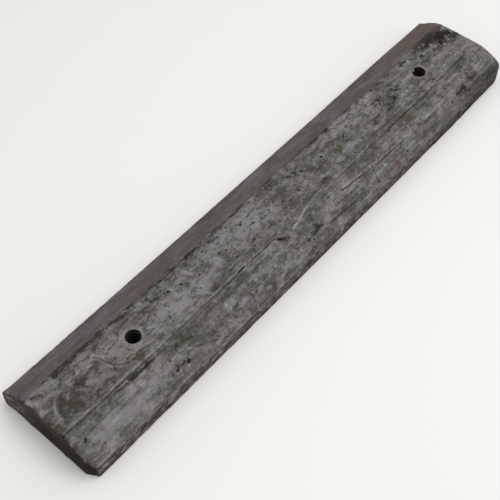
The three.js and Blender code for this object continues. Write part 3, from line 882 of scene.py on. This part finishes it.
def weatheredConcrete():
    material, tree = newMaterial("precast_concrete_weathered")
    look = concreteLook
    coords = addNode(tree, "TexCoord", output="Object")
    masks = {name: addNode(tree, "Attribute", {"attribute_name": name}, output="Fac")
             for name in (*maskNames, *look["films"])}
    noises = {}
    for name, (size, drawn, detail, rough, twist) in look["noises"].items():
        place = addNode(tree, "Mapping", inputs={"Vector": coords, "Scale": (1 / drawn, 1, 1)})
        noises[name] = addNode(tree, "TexNoise", inputs={
            "Vector": place, "Scale": 1 / (size * mm), "Detail": detail, "Roughness": rough,
            "Distortion": twist})
    mottle, grit = noises["mottle"], noises["grit"]

    # cement paste: clouds, then long drifts, then a change of hue, then olive and sandy mottling
    tone = addNode(tree, "Mix", {"data_type": "FLOAT"}, {
        "Factor": look["driftShare"], "A": noises["cloud"], "B": noises["drift"]})
    paste = addNode(tree, "ValToRGB", {"stops": look["paste"]}, {"Fac": tone})
    hue = addNode(tree, "ValToRGB", {"stops": look["hue"]}, {"Fac": noises["hue"]})
    paste = addNode(tree, "Mix", colour, {"Factor": look["hueShare"], "A": paste, "B": hue})
    most = addNode(tree, "Math", multiplyAdd, {
        0: masks["rightFlank"], 1: look["oliveRight"], 2: look["oliveMost"]})
    start, end = look["oliveWhere"]
    olive = addNode(tree, "MapRange", inputs={
        "Value": mottle, "From Min": start, "From Max": end, "To Max": most})
    paste = addNode(tree, "Mix", colour, {"Factor": olive, "A": paste, "B": look["olive"]})
    start, end = look["sandWhere"]
    sand = addNode(tree, "MapRange", inputs={
        "Value": mottle, "From Min": start, "From Max": end, "To Max": look["sandMost"]})
    layers = addNode(tree, "Mix", colour, {"Factor": sand, "A": paste, "B": look["sand"]})

    # left flank is smooth from the form and smeared along; then the lip, and the ends, whose near-black tint
    # is mostly painted shade over their own brown
    for name, pattern, mask in (
            ("flank", "smear", "leftFlank"), ("lip", "mottle", "side"), ("end", "mottle", "end")):
        tint = addNode(tree, "ValToRGB", {"stops": look[name]}, {"Fac": noises[pattern]})
        if name == "flank":
            other = addNode(tree, "ValToRGB", {"stops": look["flankHue"]}, {"Fac": noises["hue"]})
            tint = addNode(tree, "Mix", colour, {"Factor": look["flankHueShare"], "A": tint, "B": other})
        layers = addNode(tree, "Mix", colour, {"Factor": masks[mask], "A": layers, "B": tint})

    # each film spreads from its place and breaks up at its edge
    wide = addNode(tree, "Math", multiplyAdd, {0: mottle, 1: look["edgeMottle"], 2: look["edgeShift"]})
    wide = addNode(tree, "Math", multiplyAdd, {0: noises["drift"], 1: look["edgeDrift"], 2: wide})
    centred = addNode(tree, "Math", subtract, {0: grit, 1: 0.5})
    covered = {}
    for name, (tint, share, start, end, gritty) in look["films"].items():
        edge = addNode(tree, "Math", multiplyAdd, {0: centred, 1: gritty, 2: wide})
        side = subtract if name in ("skin", "fresh") else add
        field = addNode(tree, "Math", side, {0: masks[name], 1: edge})
        most = addNode(tree, "MapRange", inputs={
            "Value": masks[name], "From Max": look["fullFrom"], "To Max": share})
        covered[name] = addNode(tree, "MapRange", {"interpolation_type": "SMOOTHSTEP"}, {
            "Value": field, "From Min": start, "From Max": end, "To Max": most})
        layers = addNode(tree, "Mix", colour, {"Factor": covered[name], "A": layers, "B": tint})

    # grit, drawn streaks and relief: painted shade darkens the relief's hollows and a painted highlight
    # lightens its high spots; quieter on the skin and the smooth flank
    quiet = addNode(tree, "Math", larger, {0: masks["leftFlank"], 1: covered["skin"]})
    quiet = addNode(tree, "Math", larger, {0: quiet, 1: covered["fresh"]})
    quiet = addNode(tree, "Math", multiplyAdd, {0: masks["rightFlank"], 1: look["quietRight"], 2: quiet})
    contrast = addNode(tree, "Math", multiplyAdd, {0: quiet, 1: look["quiet"], 2: 1.0})
    speck = addNode(tree, "Math", multiplyAdd, {0: grit, 1: look["speck"], 2: -look["speck"] / 2})
    drawn = addNode(tree, "Math", multiplyAdd, {0: noises["streak"], 1: look["drawn"], 2: -look["drawn"] / 2})
    drawn = addNode(tree, "Math", multiply, {0: drawn, 1: masks["streaky"]})
    lift = addNode(tree, "Math", add, {0: speck, 1: drawn})
    lift = addNode(tree, "Math", multiplyAdd, {0: masks["relief"], 1: look["relief"], 2: lift})
    lift = addNode(tree, "Math", multiplyAdd, {0: lift, 1: contrast, 2: 1.0})
    gain = addNode(tree, "Clamp", inputs={"Value": lift, "Min": look["darkest"], "Max": look["palest"]})
    layers = addNode(tree, "VectorMath", {"operation": "SCALE"}, {"Vector": layers, "Scale": gain})

    # air holes too small to model
    cells = addNode(tree, "TexVoronoi", inputs={
        "Vector": coords, "Scale": 1 / (look["airHole"] * mm)}, output="Distance")
    start, end = look["airHoleRim"]
    tiny = addNode(tree, "MapRange", inputs={
        "Value": cells, "From Min": start, "From Max": end, "To Max": look["airHoleDark"]})
    start, end = look["airHoleWhere"]
    openSkin = addNode(tree, "MapRange", inputs={"Value": mottle, "From Min": start, "From Max": end})
    tiny = addNode(tree, "Math", multiply, {0: tiny, 1: contrast})
    tiny = addNode(tree, "Math", multiply, {0: tiny, 1: openSkin})
    layers = addNode(tree, "Mix", colour, {"Factor": tiny, "A": layers, "B": look["dirt"]})

    # the pale layer holds real marks and painted highlights, the dark layer dirt and painted shade, and the
    # hole layer painted shade
    for name, tint in (("pale", "chalk"), ("brown", "brown"), ("dirt", "dirt"), ("hole", "hole")):
        layers = addNode(tree, "Mix", colour, {"Factor": masks[name], "A": layers, "B": look[tint]})

    height = addNode(tree, "Math", multiplyAdd, {0: tiny, 1: look["bumpHole"], 2: grit})
    bump = addNode(tree, "Bump", inputs={
        "Strength": look["bump"], "Distance": look["bumpHeight"] * mm, "Height": height})
    finishMaterial(tree, Base_Color=layers, Roughness=look["rough"], IOR=look["bend"],
                   Specular_IOR_Level=look["sheen"], Normal=bump)
    return material


# The pieces inside, by how their names start: material, main colour, colour of its spots, roughness, metal
rustedBar = ("hot_rolled_bar_rusted", "#6a4632", "#2b1a12", 0.75, 0.4)   # rust on mill scale: a faint glint
insides = {
    # thick dark rust with painted shade: almost black, so that the holes look shaded inside, without shine
    "pin_sleeve": ("mild_steel_tube_rust_and_shade", "#050403", "#0d0907", 0.9, 0.0),
    "reinforcing": rustedBar,
    "cross_tie": rustedBar,
    # annealing leaves a soft dark oxide on the grey metal
    "tie_wire": ("annealed_binding_wire", "#4a4642", "#2a2724", 0.6, 0.8),
    # injection moulded: an even dark grey with a waxy sheen
    "bar_chair": ("moulded_polypropylene", "#3a3b3d", "#2f3032", 0.55, 0.0),
}
spots = {"size": 3, "detail": 5.0, "from": 0.35, "to": 0.65}


def spotted(name, main, other, rough, metal):
    material, tree = newMaterial(name)
    coords = addNode(tree, "TexCoord", output="Object")
    pattern = addNode(tree, "TexNoise", inputs={
        "Vector": coords, "Scale": 1 / (spots["size"] * mm), "Detail": spots["detail"]})
    stops = [(spots["from"], main), (spots["to"], other)]
    tone = addNode(tree, "ValToRGB", {"stops": stops}, {"Fac": pattern})
    finishMaterial(tree, Base_Color=tone, Roughness=rough, Metallic=metal)
    return material


def setMaterial(piece, material):
    piece.data.materials.clear()
    piece.data.materials.append(material)


setMaterial(concrete, weatheredConcrete())
made = {}
for start, finishOf in insides.items():
    if finishOf not in made:
        made[finishOf] = spotted(*finishOf)
    for name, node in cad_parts.items():
        if name.startswith(start):
            setMaterial(node, made[finishOf])

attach(concrete, "root")
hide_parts("concrete_body")
for bar, node in zip(bars, barNodes):
    setMaterial(bar, made[rustedBar])
    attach(bar, "root")
    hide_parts(node)
print("materials set")

# Studio: a matt pale floor, even light from all round, and one large lamp overhead. Sizes here are in metres
studio = {
    "floor": 12, "floorDrop": 0.0004, "floorColour": "#f0efec", "floorRough": 0.9, "around": 0.7,
    "lampPlace": (0.3, -0.7, 2.2), "lampTarget": (0, 0, 0), "lampSize": 1.6, "lampPower": 22,
}
bpy.ops.mesh.primitive_plane_add(size=studio["floor"], location=(0, 0, -studio["floorDrop"]))
floor = bpy.context.object
floor.name = "studio_floor"
floorMaterial, floorTree = newMaterial("matt_pale_floor")
finishMaterial(floorTree, Base_Color=studio["floorColour"], Roughness=studio["floorRough"])
setMaterial(floor, floorMaterial)

scene = bpy.context.scene
scene.view_settings.view_transform = "Standard"
world = bpy.data.worlds.new("studio")
world.use_nodes = True
world.node_tree.nodes["Background"].inputs["Color"].default_value = (1, 1, 1, 1)
world.node_tree.nodes["Background"].inputs["Strength"].default_value = studio["around"]
scene.world = world

lampData = bpy.data.lights.new("overhead_softbox", "AREA")
lampData.shape = "DISK"
lampData.size = studio["lampSize"]
lampData.energy = studio["lampPower"]
lamp = bpy.data.objects.new("overhead_softbox", lampData)
scene.collection.objects.link(lamp)
lamp.location = studio["lampPlace"]
lampAim = Vector(studio["lampTarget"]) - Vector(studio["lampPlace"])
lamp.rotation_euler = lampAim.to_track_quat("-Z", "Y").to_euler()

view = {
    "target": (-74.4, 3.4, 0), "distance": 1318.6, "azimuth": -49.21, "elevation": 54.44,
    "lens": 67.9, "sensor": 36,
}
azimuth, elevation = math.radians(view["azimuth"]), math.radians(view["elevation"])
back = Vector((
    math.sin(azimuth) * math.cos(elevation), -math.cos(azimuth) * math.cos(elevation), math.sin(elevation)))
cameraData = bpy.data.cameras.new("camera")
cameraData.lens = view["lens"]
cameraData.sensor_width = view["sensor"]
camera = bpy.data.objects.new("camera", cameraData)
scene.collection.objects.link(camera)
camera.location = (Vector(view["target"]) + back * view["distance"]) * mm
camera.rotation_euler = (-back).to_track_quat("-Z", "Y").to_euler()
scene.camera = camera

print("scene ready")
